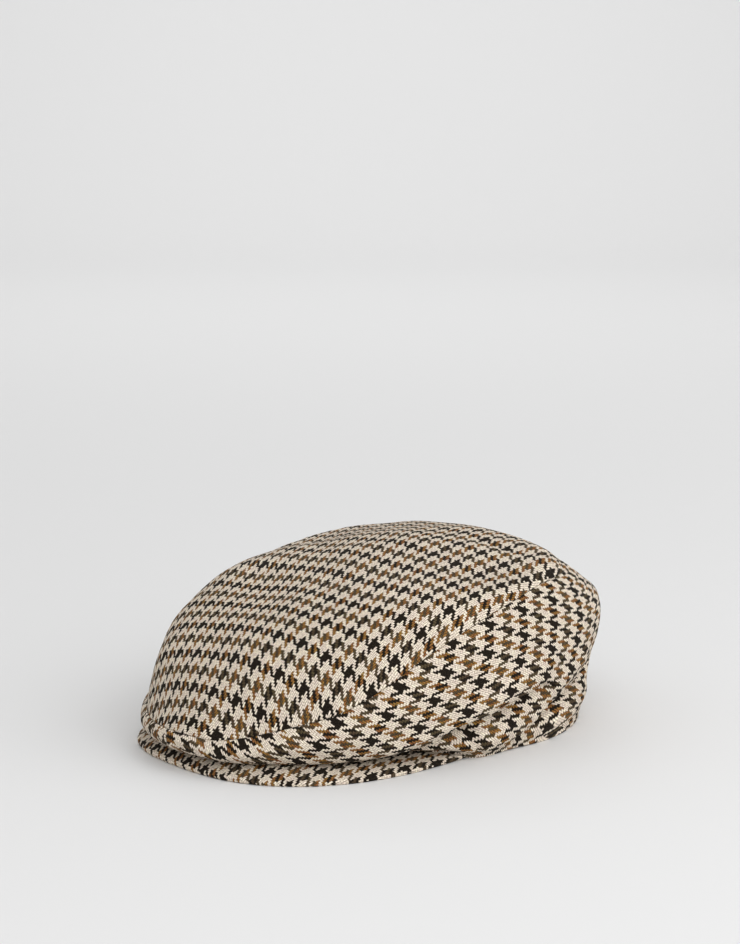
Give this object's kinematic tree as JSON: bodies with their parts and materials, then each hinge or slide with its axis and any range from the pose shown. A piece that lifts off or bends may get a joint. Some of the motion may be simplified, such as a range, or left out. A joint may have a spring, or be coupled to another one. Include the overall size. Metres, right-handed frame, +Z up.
{
  "type": "flat cap",
  "caption": "Flat cap of checked wool cloth: a one-piece top and two side panels drawn forward over a short stiff peak.",
  "frame": {"origin": "on the floor under the middle of the cap's length and width", "axes": "+Z up, the peak points to -Y, the wearer's left is +X, and the long way of the cap runs along Y"},
  "size_m": [0.204, 0.2736, 0.1028],
  "materials": {
    "tweed": "woven wool houndstooth in cream, black, ochre and dark olive"
  },
  "bodies": {
    "root": {"top_panel": "tweed", "side_panel_left": "tweed", "side_panel_right": "tweed", "peak": "tweed"}
  },
  "joints": []
}
